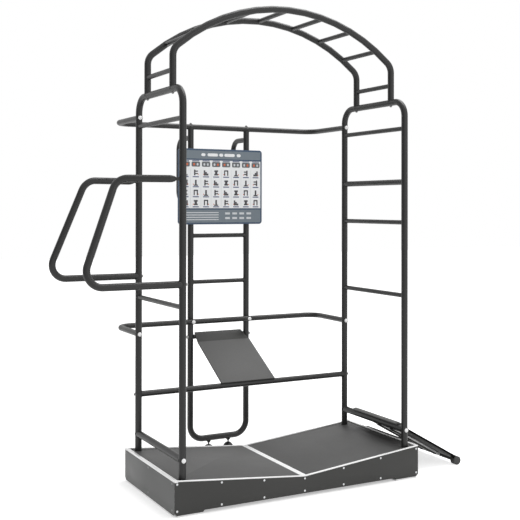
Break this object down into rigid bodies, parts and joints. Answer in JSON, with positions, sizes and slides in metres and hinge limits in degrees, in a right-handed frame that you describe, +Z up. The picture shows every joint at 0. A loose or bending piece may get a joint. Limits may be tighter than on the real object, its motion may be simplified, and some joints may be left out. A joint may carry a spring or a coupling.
{
  "type": "leg stretching machine",
  "caption": "Free-standing stretching rack: bent tube ladder frames and an arch of rungs on a shallow V platform, with hand rails, dip handles, a slant board and a hooked ramp.",
  "frame": {"origin": "on the floor under the middle of the platform, at the underside of the centre foot", "axes": "+Z up; +X to the right along the platform; +Y to the back, towards the rear ladder"},
  "size_m": [2.1289, 1.1647, 2.4014],
  "materials": {
    "tube_paint": "satin dark grey powder coat",
    "plate_paint": "fine textured dark grey powder coat",
    "end_paint": "fine textured dark grey powder coat, lit from the left",
    "frame_steel": "matt black primer on box steel",
    "bare_steel": "blackened steel",
    "light_metal": "plain anodised",
    "mat_rubber": "fine grained grey mat",
    "tread_rubber": "grained grey tread",
    "foot_rubber": "matt black rubber",
    "white_plastic": "white satin",
    "sign_face": "printed plate, satin laminate"
  },
  "bodies": {
    "rack": {"side_frame_left": "tube_paint", "side_frame_right": "tube_paint", "left_rung_low": "tube_paint", "left_rung_thigh": "tube_paint", "left_rung_head": "tube_paint", "right_rung_low": "tube_paint", "right_rung_thigh": "tube_paint", "right_rung_chest": "tube_paint", "right_rung_bar": "tube_paint", "right_rung_head": "tube_paint", "arch_rail_front": "tube_paint", "arch_rail_rear": "tube_paint", "arch_leg_rung_left": "tube_paint", "arch_leg_rung_right": "tube_paint", "arch_rung_1": "tube_paint", "arch_rung_2": "tube_paint", "arch_rung_3": "tube_paint", "arch_rung_4": "tube_paint", "arch_rung_5": "tube_paint", "arch_rung_6": "tube_paint", "arch_rung_7": "tube_paint", "upper_wrap_rail": "tube_paint", "lower_wrap_rail": "tube_paint", "mid_bar": "tube_paint", "rear_ladder_frame": "tube_paint", "rear_rung_1": "tube_paint", "rear_rung_2": "tube_paint", "rear_rung_3": "tube_paint", "rear_grip_left": "tube_paint", "rear_grip_right": "tube_paint", "dip_handle_front": "tube_paint", "dip_handle_rear": "tube_paint", "sign_board": "sign_face", "slant_rod": "bare_steel", "base_frame": "frame_steel", "centre_foot": "foot_rubber", "floor_pad_left": "white_plastic", "floor_pad_right": "white_plastic", "deck_left": "plate_paint", "deck_right": "plate_paint", "mat_left": "mat_rubber", "mat_right": "mat_rubber", "trim_left": "white_plastic", "trim_right": "white_plastic", "valley_strip": "white_plastic", "front_skirt": "plate_paint", "rear_skirt": "plate_paint", "left_end_panel": "end_paint", "right_end_panel": "plate_paint", "bumper_bar": "foot_rubber"},
    "slant": {"slant_board": "plate_paint", "slant_tread": "tread_rubber"},
    "ramp": {"ramp_board": "plate_paint", "ramp_hook": "tread_rubber", "ramp_foot_tube": "foot_rubber", "ramp_strip_front": "light_metal", "ramp_strip_rear": "light_metal"},
    "foot_left": {"levelling_foot_left": "bare_steel"},
    "foot_right": {"levelling_foot_right": "bare_steel"}
  },
  "joints": [
    {"name": "slant_tilt", "type": "hinge", "parent": "rack", "child": "slant", "pos_m": [0, 0.65, 0.6604], "axis": [-1, 0, 0], "range_deg": [0, 75]},
    {"name": "ramp_lift", "type": "hinge", "parent": "rack", "child": "ramp", "pos_m": [0.625, 0, 0.2435], "axis": [0, -1, 0], "range_deg": [0, 110]},
    {"name": "foot_left_turn", "type": "hinge", "parent": "rack", "child": "foot_left", "pos_m": [-0.062, 0.65, 0], "axis": [0, 0, 1], "continuous": true},
    {"name": "foot_right_turn", "type": "hinge", "parent": "rack", "child": "foot_right", "pos_m": [0.062, 0.65, 0], "axis": [0, 0, 1], "continuous": true}
  ]
}
